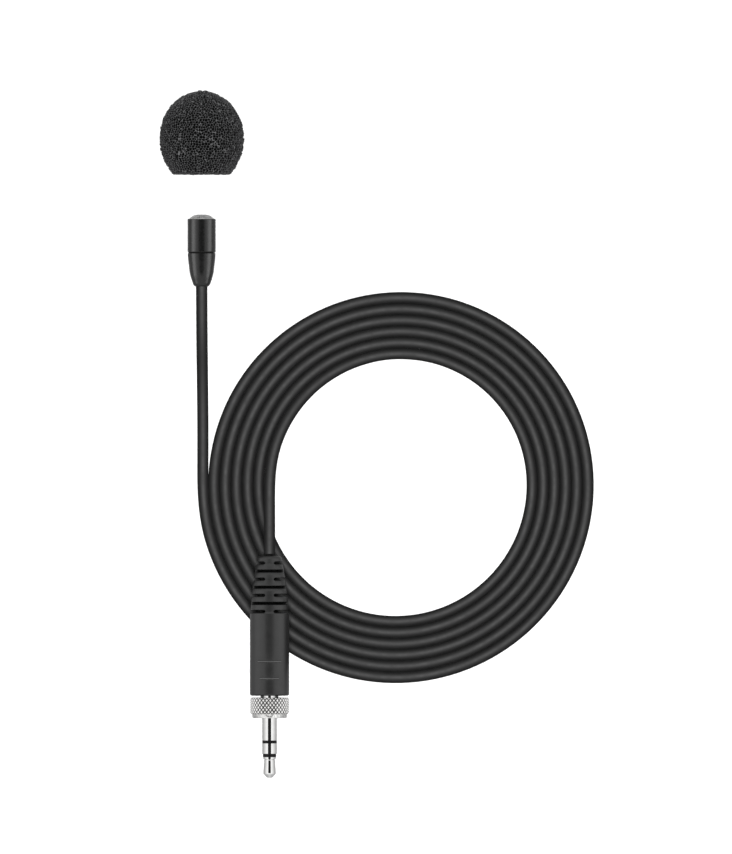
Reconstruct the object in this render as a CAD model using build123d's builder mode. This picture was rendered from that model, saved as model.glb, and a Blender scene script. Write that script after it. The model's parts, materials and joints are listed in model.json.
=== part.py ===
"""Lavalier microphone: clip-size head, foam windscreen pulled off it, coiled cord, locking jack plug.

Millimetres, +Z up, Z = 0 is the surface that everything lies on.
The head and its windscreen share one level axis along Y, with the windscreen at the +Y end.
The origin is on the surface, under the middle of that pair.
"""
from build123d import *
import os
from math import asin, degrees, pi, radians, sqrt, tan

os.makedirs("parts", exist_ok=True)

# ---------------------------------------------------------------- driving dimensions
CORD_D = 2.6
CORD_R = CORD_D / 2
BORE_GAP = 0.02                # radial room between a cord or stem and the bore that it sits in

HEAD_R = 3.35                  # the head's barrel
TAIL_LENGTH = 8.0              # cord exit to the seam
SEAM_GAP = 0.22
BARREL_LENGTH = 7.93
DOME_HEIGHT = 1.05
HEAD_LENGTH = TAIL_LENGTH + SEAM_GAP + BARREL_LENGTH + DOME_HEIGHT

SCREEN_R = 10.05               # the foam windscreen, an ellipsoid cut flat at its mouth
SCREEN_HALF_AXIS = 11.5
SCREEN_LENGTH = 20.1
SCREEN_BORE_R = 3.4
SCREEN_BORE_DEPTH = 13.0
SCREEN_PULLED = 9.6            # gap from the head's dome to the windscreen's mouth

COIL_TURNS = 6
COIL_PITCH = 2.69
COIL_FIRST_R = 46.27           # centreline radius of the outermost half turn
COIL_X = 47.1
COIL_Y = -71.0

PLUG_X = 16.25
PLUG_FRONT_Y = -121.5          # the barrel's front face
PLUG_CLEARANCE = 0.05          # between the barrel and the turns of cord that it lies on
BARREL_R = 4.69
PLUG_BARREL_LENGTH = 19.7
PLUG_BODY_LENGTH = 33.45       # barrel and boot together
JACK_R = 1.75                  # 3.5 mm jack
NUT_R = 4.62
NUT_START = 0.5                # in front of the barrel's face
NUT_KNURL_END = 4.4
NUT_LENGTH_END = 5.35

# ---------------------------------------------------------------- frames
AXIS_Z = SCREEN_R
SET_LENGTH = HEAD_LENGTH + SCREEN_PULLED + SCREEN_LENGTH
EXIT_Y = -SET_LENGTH / 2
PLUG_Z = CORD_D + PLUG_CLEARANCE + BARREL_R      # level: the barrel's front half lies on the coil

# In each frame x is a radius and y runs along the axis.
# HEAD starts at the cord exit, SCREEN at the windscreen's mouth, PLUG at the barrel's front face.
HEAD = Plane(origin=(0, EXIT_Y, AXIS_Z), x_dir=(1, 0, 0), z_dir=(0, 0, 1))
SCREEN = Plane(origin=(0, EXIT_Y + HEAD_LENGTH + SCREEN_PULLED, AXIS_Z),
               x_dir=(1, 0, 0), z_dir=(0, 0, 1))
PLUG = Plane(origin=(PLUG_X, PLUG_FRONT_Y, PLUG_Z), x_dir=(1, 0, 0), z_dir=(0, 0, 1))


def spin(frame):
    """The axis that a frame's turned pieces are revolved about."""
    return Axis(frame.origin, frame.y_dir)


def across(frame, along):
    """The plane square to a frame's axis, at a distance along it."""
    return Plane(origin=frame.from_local_coords((0, along, 0)), x_dir=frame.x_dir, z_dir=frame.y_dir)


def leaf(frame, angle):
    """A frame turned about its own axis, so that its x points at an angle round it."""
    about = Axis((0, 0, 0), frame.y_dir)
    return Plane(origin=frame.origin, x_dir=frame.x_dir.rotate(about, angle),
                 z_dir=frame.z_dir.rotate(about, angle))


def turn(frame, *outline):
    """Revolve a closed outline of (radius, along) points into the part being built."""
    with BuildSketch(frame) as section:
        with BuildLine():
            Polyline(*outline, close=True)
        make_face()
    revolve(section.sketch, axis=spin(frame))


def ring(frame, inner, outer, start, end):
    """A plain ring, or a disc when inner is 0, in the part being built."""
    turn(frame, (inner, start), (outer, start), (outer, end), (inner, end))


def drill(frame, centre_r, hole_r, count, start, end):
    """Cut a circle of straight holes along the axis out of the part being built."""
    with BuildSketch(across(frame, start)) as holes:
        with PolarLocations(centre_r, count):
            Circle(hole_r)
    extrude(holes.sketch, amount=end - start, mode=Mode.SUBTRACT)


def block(frame, x, z, width, depth, start, end):
    """A block whose long way follows the axis, in the part being built."""
    with BuildSketch(across(frame, start)) as section:
        with Locations((x, -z)):
            Rectangle(width, depth)
    extrude(section.sketch, amount=end - start)


def wire(frame, angle, radius, bend, *route):
    """A thin wire along (radius, along) points in the axial plane at an angle, in the part being built."""
    points = [leaf(frame, angle).from_local_coords((x, y, 0)) for x, y in route]
    with BuildLine() as route_line:
        path = FilletPolyline(*points, radius=bend)
    with BuildSketch(Plane(origin=points[0], z_dir=path % 0)) as section:
        Circle(radius)
    sweep(section.sketch, path=route_line.wire())


def cord_radii(route):
    """The arc radius at each inner point: 0.45 of the shorter run over the tangent of half the turn."""
    points = [Vector(*p) for p in route]
    radii = []
    for before, here, after in zip(points, points[1:], points[2:]):
        came = here - before
        goes = after - here
        turn_angle = came.get_angle(goes)
        radii.append(0.45 * min(came.length, goes.length) / tan(radians(turn_angle / 2)))
    return radii


def cord_tube(route, name):
    """A tube of the cord's thickness along straight runs and tangent arcs, in the part being built."""
    radii = cord_radii(route)
    print(name, "bend radii", [round(r, 1) for r in radii])
    with BuildLine() as route_line:
        path = FilletPolyline(*route, radius=radii)
    with BuildSketch(Plane(origin=path @ 0, z_dir=path % 0)) as section:
        Circle(CORD_R)
    sweep(section.sketch, path=route_line.wire())
    print(name, "length", round(path.length, 1))
    return path.length


# ================================================================ windscreen
MOUTH_EDGE = 0.6               # rounding of the windscreen's cut rim
SCREEN_CENTRE = SCREEN_LENGTH - SCREEN_HALF_AXIS
with BuildPart() as foam_windscreen:
    with BuildSketch(SCREEN):
        with BuildLine():
            below = degrees(asin(SCREEN_CENTRE / SCREEN_HALF_AXIS))
            foam = EllipticalCenterArc((0, SCREEN_CENTRE), SCREEN_R, SCREEN_HALF_AXIS, -below,
                                       arc_size=90 + below)
            Polyline(foam @ 1, (0, SCREEN_BORE_DEPTH), (SCREEN_BORE_R, SCREEN_BORE_DEPTH),
                     (SCREEN_BORE_R, 0), foam @ 0)
        make_face()
        rim = vertices().filter_by_position(Axis.Y, -0.01, 0.01).sort_by(Axis.X)[-1]
        fillet(rim, MOUTH_EDGE)
    revolve(axis=spin(SCREEN))

foam_windscreen.part.label = "foam_windscreen"
export_step(foam_windscreen.part, "parts/foam_windscreen.step")

# ================================================================ head
# Along the head's axis, from the cord exit towards the dome.
RIM = HEAD_LENGTH - DOME_HEIGHT
SEAM = TAIL_LENGTH
TAIL_CHAMFER = 0.14            # round the tail cone's rim, beside the seam
SPIGOT_END = 9.9
CAVITY_R = 1.95
CRIMP_START = 4.5
CORD_STRIP = 6.6               # the cord's jacket ends here, inside the crimp
CRIMP_END = 7.0
SLEEVE_END = 11.6
CAN_BACK = 12.2
CAN_FRONT = 15.4
BARREL_BORE = 3.0
INNER_R = 2.95                 # pieces stacked inside the barrel
SKIN = 0.2                     # the capsule can's sheet
BOARD_BACK = CAN_BACK + SKIN
BOARD_FRONT = BOARD_BACK + 0.5
ELECTRODE_BACK = 14.45
ELECTRODE_FRONT = 14.85
DIAPHRAGM_BACK = 14.91
DIAPHRAGM_FRONT = 14.95
STACK_R = 2.7                  # pieces stacked inside the can
WIRE_R = 0.22
PAD_RADIUS = 1.35              # the board's solder pads, at these angles about the axis
PAD_ANGLES = (20, 140, 260)

with BuildPart() as head_barrel:
    ring(HEAD, BARREL_BORE, HEAD_R, SEAM + SEAM_GAP, RIM)
    fillet(head_barrel.edges().filter_by(GeomType.CIRCLE).group_by(SortBy.RADIUS)[-1], 0.15)

head_barrel.part.label = "head_barrel"
export_step(head_barrel.part, "parts/head_barrel.step")

with BuildPart() as tail_cone:
    with BuildSketch(HEAD):
        with BuildLine():
            Line((CORD_R + BORE_GAP, 0), (1.5, 0))
            Spline((1.5, 0), (2.2, 1.05), (2.66, 2.45), (3.09, 5.35), (3.32, SEAM - TAIL_CHAMFER),
                   tangents=((1, 0.35), (0.05, 1)))
            Polyline((3.32, SEAM - TAIL_CHAMFER), (3.32 - TAIL_CHAMFER, SEAM), (2.97, SEAM),
                     (2.97, SPIGOT_END), (CAVITY_R, SPIGOT_END),
                     (CAVITY_R, CRIMP_START), (CORD_R + BORE_GAP, CRIMP_START), (CORD_R + BORE_GAP, 0))
        make_face()
    revolve(axis=spin(HEAD))

tail_cone.part.label = "tail_cone"
export_step(tail_cone.part, "parts/tail_cone.step")

with BuildPart() as seam_seal:
    ring(HEAD, 2.98, 3.15, SEAM, SEAM + SEAM_GAP)

seam_seal.part.label = "seam_seal"
export_step(seam_seal.part, "parts/seam_seal.step")

# The grille is a shallow cap of woven wire with a short skirt inside the barrel's rim.
MESH_R = 2.98
MESH_THICK = 0.15
CAP_SPHERE = (MESH_R ** 2 + DOME_HEIGHT ** 2) / (2 * DOME_HEIGHT)
CAP_CENTRE = HEAD_LENGTH - CAP_SPHERE


def cap(radius, sphere):
    """A point of the dome's section, at a radius from the axis."""
    return (radius, CAP_CENTRE + sqrt(sphere ** 2 - radius ** 2))


with BuildPart() as grille_mesh:
    inside = CAP_SPHERE - MESH_THICK
    skirt = MESH_R - MESH_THICK
    with BuildSketch(HEAD):
        with BuildLine():
            Polyline((skirt, CAN_FRONT), (MESH_R, CAN_FRONT), cap(MESH_R, CAP_SPHERE))
            ThreePointArc(cap(MESH_R, CAP_SPHERE), cap(MESH_R / 2, CAP_SPHERE), cap(0, CAP_SPHERE))
            Line(cap(0, CAP_SPHERE), cap(0, inside))
            ThreePointArc(cap(0, inside), cap(skirt / 2, inside), cap(skirt, inside))
            Line(cap(skirt, inside), (skirt, CAN_FRONT))
        make_face()
    revolve(axis=spin(HEAD))

grille_mesh.part.label = "grille_mesh"
export_step(grille_mesh.part, "parts/grille_mesh.step")

with BuildPart() as acoustic_felt:
    ring(HEAD, 0, 2.8, CAN_FRONT, CAN_FRONT + 0.5)

acoustic_felt.part.label = "acoustic_felt"
export_step(acoustic_felt.part, "parts/acoustic_felt.step")

with BuildPart() as capsule_can:
    turn(HEAD, (0, CAN_FRONT), (INNER_R, CAN_FRONT), (INNER_R, CAN_BACK), (2.5, CAN_BACK),
         (2.5, BOARD_BACK), (INNER_R - SKIN, BOARD_BACK), (INNER_R - SKIN, CAN_FRONT - SKIN),
         (0, CAN_FRONT - SKIN))
    drill(HEAD, 1.3, 0.28, 6, CAN_FRONT - SKIN, CAN_FRONT)
    drill(HEAD, 0, 0.28, 1, CAN_FRONT - SKIN, CAN_FRONT)

capsule_can.part.label = "capsule_can"
export_step(capsule_can.part, "parts/capsule_can.step")

with BuildPart() as diaphragm_ring:
    ring(HEAD, 2.2, STACK_R, DIAPHRAGM_FRONT, CAN_FRONT - SKIN)

diaphragm_ring.part.label = "diaphragm_ring"
export_step(diaphragm_ring.part, "parts/diaphragm_ring.step")

with BuildPart() as diaphragm:
    ring(HEAD, 0, STACK_R, DIAPHRAGM_BACK, DIAPHRAGM_FRONT)

diaphragm.part.label = "diaphragm"
export_step(diaphragm.part, "parts/diaphragm.step")

with BuildPart() as spacer_ring:
    ring(HEAD, 2.2, STACK_R, ELECTRODE_FRONT, DIAPHRAGM_BACK)

spacer_ring.part.label = "spacer_ring"
export_step(spacer_ring.part, "parts/spacer_ring.step")

with BuildPart() as back_electrode:
    ring(HEAD, 0, 2.28, ELECTRODE_BACK, ELECTRODE_FRONT)
    drill(HEAD, 1.2, 0.25, 4, ELECTRODE_BACK, ELECTRODE_FRONT)

back_electrode.part.label = "back_electrode"
export_step(back_electrode.part, "parts/back_electrode.step")

with BuildPart() as insulator_cup:
    turn(HEAD, (2.3, ELECTRODE_FRONT), (STACK_R, ELECTRODE_FRONT), (STACK_R, BOARD_FRONT),
         (2.15, BOARD_FRONT), (2.15, ELECTRODE_BACK), (2.3, ELECTRODE_BACK))

insulator_cup.part.label = "insulator_cup"
export_step(insulator_cup.part, "parts/insulator_cup.step")

with BuildPart() as gate_contact_ring:
    ring(HEAD, 1.85, 2.12, BOARD_FRONT, ELECTRODE_BACK)

gate_contact_ring.part.label = "gate_contact_ring"
export_step(gate_contact_ring.part, "parts/gate_contact_ring.step")

with BuildPart() as capsule_board:
    ring(HEAD, 0, STACK_R, BOARD_BACK, BOARD_FRONT)

capsule_board.part.label = "capsule_board"
export_step(capsule_board.part, "parts/capsule_board.step")

with BuildPart() as fet_transistor:
    block(HEAD, 0, 0, 1.6, 0.9, BOARD_FRONT, BOARD_FRONT + 0.6)

fet_transistor.part.label = "fet_transistor"
export_step(fet_transistor.part, "parts/fet_transistor.step")

with BuildPart() as chip_capacitors:
    for side in (-1, 1):
        block(HEAD, side * 0.5, 0, 0.5, 1.0, BOARD_BACK - 0.5, BOARD_BACK)

chip_capacitors.part.label = "chip_capacitors"
export_step(chip_capacitors.part, "parts/chip_capacitors.step")

with BuildPart() as capsule_gasket:
    ring(HEAD, 2.3, INNER_R, SLEEVE_END, CAN_BACK)

capsule_gasket.part.label = "capsule_gasket"
export_step(capsule_gasket.part, "parts/capsule_gasket.step")

with BuildPart() as retaining_sleeve:
    ring(HEAD, 2.6, INNER_R, SPIGOT_END, SLEEVE_END)

retaining_sleeve.part.label = "retaining_sleeve"
export_step(retaining_sleeve.part, "parts/retaining_sleeve.step")

with BuildPart() as cable_crimp:
    turn(HEAD, (CORD_R + BORE_GAP, CRIMP_START), (1.9, CRIMP_START), (1.9, CRIMP_END), (0.95, CRIMP_END),
         (0.95, CORD_STRIP), (CORD_R + BORE_GAP, CORD_STRIP))

cable_crimp.part.label = "cable_crimp"
export_step(cable_crimp.part, "parts/cable_crimp.step")

# Two insulated wires and the shield's pigtail run from the jacket's end to the board's pads.
SOLDER_BACK = BOARD_BACK - 0.4
HEAD_WIRES = ("head_signal_wire", "head_bias_wire", "head_shield_pigtail")
for node, pad_angle in zip(HEAD_WIRES, PAD_ANGLES):
    with BuildPart() as head_wire:
        wire(HEAD, pad_angle, WIRE_R, 0.8,
             (0.5, CORD_STRIP), (0.5, 8.6), (PAD_RADIUS, 10.4), (PAD_RADIUS, SOLDER_BACK))
    head_wire.part.label = node
    export_step(head_wire.part, "parts/" + node + ".step")

with BuildPart() as head_solder:
    for pad_angle in PAD_ANGLES:
        pad_centre = leaf(HEAD, pad_angle).from_local_coords((PAD_RADIUS, SOLDER_BACK, 0))
        pad = Plane(origin=pad_centre, z_dir=HEAD.y_dir)
        with BuildSketch(pad):
            Circle(0.3)
        with BuildSketch(pad.offset(BOARD_BACK - SOLDER_BACK)):
            Circle(0.5)
        loft()

head_solder.part.label = "head_solder"
export_step(head_solder.part, "parts/head_solder.step")

# ================================================================ cord
with BuildPart() as cord_head_end:
    ring(HEAD, 0, CORD_R, 0, CORD_STRIP)

cord_head_end.part.label = "cord_head_end"
export_step(cord_head_end.part, "parts/cord_head_end.step")

# The coil is a flat spiral of half turns: the lower ones about one centre, the upper ones about another.
LOWER_X = COIL_X - COIL_PITCH / 4
UPPER_X = COIL_X + COIL_PITCH / 4
COIL_LAST_R = COIL_FIRST_R - (COIL_TURNS - 0.5) * COIL_PITCH
COIL_START = (LOWER_X - COIL_FIRST_R, COIL_Y)
COIL_END = (UPPER_X, COIL_Y + COIL_LAST_R)      # a quarter turn before the cord leaves its circle

# The lead goes straight out of the head, sinks to the surface and lies along it to the coil.
LEAD_ROUTE = [
    (0, EXIT_Y, AXIS_Z),
    (0.03, -32.5, AXIS_Z),
    (0.15, -46.5, 3.4),
    (0.25, -59.0, CORD_R),
    (COIL_START[0], COIL_START[1], CORD_R),
]
with BuildPart() as cord_lead:
    lead_length = cord_tube(LEAD_ROUTE, "cord_lead")

cord_lead.part.label = "cord_lead"
export_step(cord_lead.part, "parts/cord_lead.step")

# The tail finishes the innermost turn while it climbs, crosses over the coil and enters the boot.
MOUTH = PLUG.from_local_coords((0, PLUG_BODY_LENGTH, 0))
APPROACH = PLUG.from_local_coords((0, PLUG_BODY_LENGTH + 8.0, 0))
TAIL_ROUTE = [
    (COIL_END[0], COIL_END[1], CORD_R),
    (42.79, -39.52, CORD_R),
    (33.3, -42.6, 2.2),
    (25.23, -48.46, 4.0),
    (19.37, -56.53, 6.0),
    (16.22, -66.0, 7.2),
    tuple(APPROACH),
    tuple(MOUTH),
]
with BuildPart() as cord_tail:
    tail_length = cord_tube(TAIL_ROUTE, "cord_tail")

cord_tail.part.label = "cord_tail"
export_step(cord_tail.part, "parts/cord_tail.step")

HALF_STEP = COIL_PITCH / 2
OUTER_EDGE_R = COIL_FIRST_R + HALF_STEP
INNER_LOWER_R = COIL_FIRST_R - (COIL_TURNS - 1) * COIL_PITCH - HALF_STEP
INNER_UPPER_R = COIL_LAST_R - HALF_STEP
with BuildPart() as cord_coil:
    with BuildSketch(Plane.XY):
        with BuildLine():
            CenterArc((LOWER_X, COIL_Y), OUTER_EDGE_R, 180, 180)
            CenterArc((UPPER_X, COIL_Y), OUTER_EDGE_R - HALF_STEP, 0, 180)
            Line((UPPER_X - OUTER_EDGE_R + HALF_STEP, COIL_Y), (LOWER_X - OUTER_EDGE_R, COIL_Y))
        make_face()
        with BuildLine():
            CenterArc((LOWER_X, COIL_Y), INNER_LOWER_R, 180, 180)
            CenterArc((UPPER_X, COIL_Y), INNER_UPPER_R, 0, 90)
            Line((UPPER_X, COIL_Y + INNER_UPPER_R), (UPPER_X, COIL_Y + INNER_UPPER_R + COIL_PITCH))
            CenterArc((UPPER_X, COIL_Y), INNER_UPPER_R + COIL_PITCH, 90, 90)
        make_face(mode=Mode.SUBTRACT)
    extrude(amount=CORD_D)
    rims = cord_coil.edges().filter_by(GeomType.CIRCLE)
    fillet(rims.filter_by(lambda edge: edge.radius > COIL_FIRST_R - HALF_STEP), 1.2)

cord_coil.part.label = "cord_coil"
export_step(cord_coil.part, "parts/cord_coil.step")
half_turn_radii = [COIL_FIRST_R - half * HALF_STEP for half in range(2 * COIL_TURNS)]
coil_length = pi * sum(half_turn_radii) - COIL_LAST_R * pi / 2
print("cord, head to boot", round(lead_length + coil_length + tail_length, 1))

# ================================================================ plug
# Along the plug's axis, from the barrel's front face back towards the boot's mouth.
FRONT_WALL = 1.0
FLANGE_BACK = 2.0
FLANGE_R = 2.93
SHELL_BORE = 2.95
SHELL_R = 3.6
SHELL_BACK = 18.0
SHELL_WALL = 0.8
PLUG_STRIP = 11.5              # the cord's jacket ends here
MOUTH_R = 1.5
MOUTH_DEPTH = 1.0
SLOT = 0.72                    # the boot's slots, cut in turn from the sides and from front and back
SLOT_STEP = 3.86
SLOT_FIRST = 20.2
RIB = 2.0                      # the rib that each pair of slots leaves
BOOT_CORE_R = 1.95
SHANK_R = 1.55                 # the jack's sleeve where the barrel and the nut's retainer hold it
SHANK_FRONT = -2.2

with BuildPart() as plug_overmould:
    with BuildSketch(PLUG):
        with BuildLine():
            Polyline((SHANK_R + BORE_GAP, 0), (BARREL_R - 0.45, 0))
            RadiusArc((BARREL_R - 0.45, 0), (BARREL_R, 0.45), -0.45)
            Polyline((BARREL_R, 0.45), (BARREL_R, PLUG_BARREL_LENGTH),
                     (4.57, PLUG_BARREL_LENGTH + 0.12))
            Spline((4.57, PLUG_BARREL_LENGTH + 0.12), (4.15, 25.25), (3.62, 28.9), (2.95, 32.9),
                   tangents=((-0.02, 1), (-0.28, 1)))
            Polyline((2.95, 32.9), (2.55, PLUG_BODY_LENGTH), (MOUTH_R, PLUG_BODY_LENGTH),
                     (MOUTH_R, PLUG_BODY_LENGTH - MOUTH_DEPTH),
                     (CORD_R + BORE_GAP, PLUG_BODY_LENGTH - MOUTH_DEPTH),
                     (CORD_R + BORE_GAP, SHELL_BACK), (SHELL_R + BORE_GAP, SHELL_BACK),
                     (SHELL_R + BORE_GAP, FRONT_WALL), (SHANK_R + BORE_GAP, FRONT_WALL),
                     (SHANK_R + BORE_GAP, 0))
        make_face()
    revolve(axis=spin(PLUG))
    for index in range(7):
        rib_size = (RIB, 20) if index % 2 == 0 else (20, RIB)
        with BuildSketch(across(PLUG, SLOT_FIRST + index * SLOT_STEP / 2 - SLOT / 2)):
            Circle(BARREL_R + 1)
            Circle(BOOT_CORE_R, mode=Mode.SUBTRACT)
            Rectangle(*rib_size, mode=Mode.SUBTRACT)
        extrude(amount=SLOT, mode=Mode.SUBTRACT)

plug_overmould.part.label = "plug_overmould"
export_step(plug_overmould.part, "parts/plug_overmould.step")

with BuildPart() as terminal_shell:
    turn(PLUG, (SHELL_BORE, FRONT_WALL), (SHELL_R, FRONT_WALL), (SHELL_R, SHELL_BACK),
         (CORD_R + BORE_GAP, SHELL_BACK), (CORD_R + BORE_GAP, SHELL_BACK - SHELL_WALL),
         (SHELL_BORE, SHELL_BACK - SHELL_WALL))

terminal_shell.part.label = "terminal_shell"
export_step(terminal_shell.part, "parts/terminal_shell.step")

# The jack's contacts are nested tubes, each parted from the next by an insulator with a flange.
SLEEVE_FRONT = -10.74
RING_BACK = -11.46
RING_FRONT = -13.93
TIP_BACK = -14.75
SLEEVE_BORE = 1.25
RING_STEM = (0.72, 0.95)
TIP_STEM = 0.45
RING_LUG = (3.0, 3.3)
TIP_LUG = (5.0, 5.3)

with BuildPart() as jack_sleeve:
    turn(PLUG, (SLEEVE_BORE, SLEEVE_FRONT), (JACK_R, SLEEVE_FRONT), (JACK_R, SHANK_FRONT),
         (SHANK_R, SHANK_FRONT), (SHANK_R, FRONT_WALL),
         (FLANGE_R, FRONT_WALL), (FLANGE_R, FLANGE_BACK), (SLEEVE_BORE, FLANGE_BACK))

jack_sleeve.part.label = "jack_sleeve"
export_step(jack_sleeve.part, "parts/jack_sleeve.step")

with BuildPart() as insulator_rear:
    turn(PLUG, (0.97, RING_BACK), (1.74, RING_BACK), (1.74, SLEEVE_FRONT), (1.22, SLEEVE_FRONT),
         (1.22, RING_LUG[0]), (0.97, RING_LUG[0]))

insulator_rear.part.label = "insulator_rear"
export_step(insulator_rear.part, "parts/insulator_rear.step")

with BuildPart() as jack_ring:
    turn(PLUG, (RING_STEM[0], RING_FRONT), (JACK_R, RING_FRONT), (JACK_R, RING_BACK),
         (RING_STEM[1], RING_BACK), (RING_STEM[1], 3.6), (RING_STEM[0], 3.6))

jack_ring.part.label = "jack_ring"
export_step(jack_ring.part, "parts/jack_ring.step")

with BuildPart() as insulator_front:
    turn(PLUG, (0.47, TIP_BACK), (1.58, TIP_BACK), (1.58, RING_FRONT), (0.70, RING_FRONT),
         (0.70, TIP_LUG[0]), (0.47, TIP_LUG[0]))

insulator_front.part.label = "insulator_front"
export_step(insulator_front.part, "parts/insulator_front.step")

with BuildPart() as jack_tip:
    turn(PLUG, (0, -19.5), (0.35, -19.5), (0.58, -19.69), (1.42, -18.82), (1.49, -18.6), (1.46, -18.32),
         (1.285, -15.5), (1.21, -15.32), (1.48, -15.16), (1.5, TIP_BACK), (TIP_STEM, TIP_BACK),
         (TIP_STEM, 5.6), (0, 5.6))

jack_tip.part.label = "jack_tip"
export_step(jack_tip.part, "parts/jack_tip.step")

# Each contact has a lug at the back, where its wire is soldered.
with BuildPart() as ring_lug:
    ring(PLUG, 0.97, 1.9, *RING_LUG)
    block(PLUG, -1.7, 0, 0.3, 1.0, RING_LUG[0], 7.6)

ring_lug.part.label = "ring_lug"
export_step(ring_lug.part, "parts/ring_lug.step")

with BuildPart() as tip_lug:
    ring(PLUG, 0.47, 1.3, *TIP_LUG)
    block(PLUG, 1.1, 0, 0.3, 1.0, TIP_LUG[0], 9.0)

tip_lug.part.label = "tip_lug"
export_step(tip_lug.part, "parts/tip_lug.step")

CLAMP_START = 12.0
CLAMP_END = 14.0
CLAMP_R = 1.75
with BuildPart() as sleeve_lug:
    ring(PLUG, CORD_R + BORE_GAP, CLAMP_R, CLAMP_START, CLAMP_END)
    block(PLUG, 0, -1.6, 1.2, 0.26, 10.6, CLAMP_END)
    block(PLUG, 0, -2.4, 1.2, 0.3, FLANGE_BACK, 10.9)
    block(PLUG, 0, -2.0, 1.2, 1.1, 10.6, 10.9)

sleeve_lug.part.label = "sleeve_lug"
export_step(sleeve_lug.part, "parts/sleeve_lug.step")

PLUG_WIRES = {
    "plug_signal_wire": (0, (0.5, PLUG_STRIP), (0.5, 10.6), (0.65, 9.4), (0.65, 8.6)),
    "plug_bias_wire": (180, (0.5, PLUG_STRIP), (0.5, 10.4), (1.25, 8.2), (1.25, 7.2)),
    "plug_shield_pigtail": (90, (0.6, PLUG_STRIP), (0.6, 10.3), (1.95, 8.6), (1.95, 7.6)),
}
for node, (leaf_angle, *wire_route) in PLUG_WIRES.items():
    with BuildPart() as plug_wire:
        wire(PLUG, leaf_angle, WIRE_R, 0.4, *wire_route)
    plug_wire.part.label = node
    export_step(plug_wire.part, "parts/" + node + ".step")

with BuildPart() as plug_solder:
    for angle, radius, back in ((0, 0.65, 8.6), (180, 1.25, 7.2), (90, 1.95, 7.6)):
        pad = Plane(origin=leaf(PLUG, angle).from_local_coords((radius, back, 0)), z_dir=PLUG.y_dir)
        with BuildSketch(pad):
            Circle(0.3)
        extrude(amount=-1.2)

plug_solder.part.label = "plug_solder"
export_step(plug_solder.part, "parts/plug_solder.step")

with BuildPart() as cord_plug_end:
    ring(PLUG, 0, CORD_R, PLUG_STRIP, PLUG_BODY_LENGTH)

cord_plug_end.part.label = "cord_plug_end"
export_step(cord_plug_end.part, "parts/cord_plug_end.step")

# ================================================================ locking nut
# The nut turns on a retainer that sits on the sleeve's shank, with four prongs against the barrel.
RETAINER_BORE = SHANK_R + BORE_GAP
RETAINER_R = 2.1
NUT_BORE = 2.16
NUT_WALL_FRONT = 1.55
WASHER = (1.6, 1.72)
RETAINER_FLANGE_BACK = -1.75
THREAD_R = 3.45

with BuildPart() as nut_retainer:
    ring(PLUG, RETAINER_BORE, RETAINER_R, SHANK_FRONT, -NUT_START)
    ring(PLUG, RETAINER_R - 0.1, 2.9, SHANK_FRONT, RETAINER_FLANGE_BACK)
    with BuildSketch(across(PLUG, -NUT_START)):
        with PolarLocations((RETAINER_BORE + RETAINER_R) / 2, 4):
            Rectangle(RETAINER_R - RETAINER_BORE - 0.04, 0.6)
    extrude(amount=NUT_START)

nut_retainer.part.label = "nut_retainer"
export_step(nut_retainer.part, "parts/nut_retainer.step")

with BuildPart() as friction_washer:
    ring(PLUG, RETAINER_R + 0.04, 2.85, -WASHER[1], -WASHER[0])

friction_washer.part.label = "friction_washer"
export_step(friction_washer.part, "parts/friction_washer.step")

with BuildPart() as lock_nut:
    turn(PLUG, (NUT_BORE, -NUT_START), (NUT_R - 0.2, -NUT_START), (NUT_R, -NUT_START - 0.2),
         (NUT_R, -NUT_KNURL_END + 0.12), (NUT_R - 0.12, -NUT_KNURL_END), (4.12, -NUT_KNURL_END),
         (4.12, -NUT_LENGTH_END + 0.15), (3.97, -NUT_LENGTH_END), (THREAD_R + 0.2, -NUT_LENGTH_END),
         (THREAD_R, -NUT_LENGTH_END + 0.2), (THREAD_R, -NUT_WALL_FRONT), (NUT_BORE, -NUT_WALL_FRONT))

lock_nut.part.label = "lock_nut"
export_step(lock_nut.part, "parts/lock_nut.step")
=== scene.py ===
"""Looks of the lavalier microphone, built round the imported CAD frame.

Sizes are written in millimetres and scaled to metres as each mesh or curve is made.
Turned pieces are lathes in one of three axis frames: local x and z are radii, y runs along the axis.
"""
import json
import math

import bmesh
import bpy
import numpy as np
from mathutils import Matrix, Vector, kdtree


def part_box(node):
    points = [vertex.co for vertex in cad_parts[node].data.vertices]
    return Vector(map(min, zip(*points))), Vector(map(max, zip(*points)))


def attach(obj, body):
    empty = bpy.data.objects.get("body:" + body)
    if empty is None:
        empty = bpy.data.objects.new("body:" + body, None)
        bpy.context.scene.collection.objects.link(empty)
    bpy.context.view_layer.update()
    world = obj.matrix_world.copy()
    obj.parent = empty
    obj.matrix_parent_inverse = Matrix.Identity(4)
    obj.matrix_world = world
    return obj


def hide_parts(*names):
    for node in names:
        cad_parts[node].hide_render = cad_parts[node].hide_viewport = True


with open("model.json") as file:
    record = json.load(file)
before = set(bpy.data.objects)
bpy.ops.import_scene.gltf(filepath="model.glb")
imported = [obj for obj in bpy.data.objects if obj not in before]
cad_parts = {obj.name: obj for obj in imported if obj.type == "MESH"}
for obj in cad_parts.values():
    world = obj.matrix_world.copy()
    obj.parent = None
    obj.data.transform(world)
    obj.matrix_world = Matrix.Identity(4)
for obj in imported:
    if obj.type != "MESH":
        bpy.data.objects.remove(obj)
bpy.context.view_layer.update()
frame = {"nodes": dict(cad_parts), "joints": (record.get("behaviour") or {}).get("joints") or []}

MM = 0.001
CORD_SKIN_R = 1.35            # the drawn cord: neighbouring turns of the coil just touch
scene = bpy.context.scene


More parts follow.
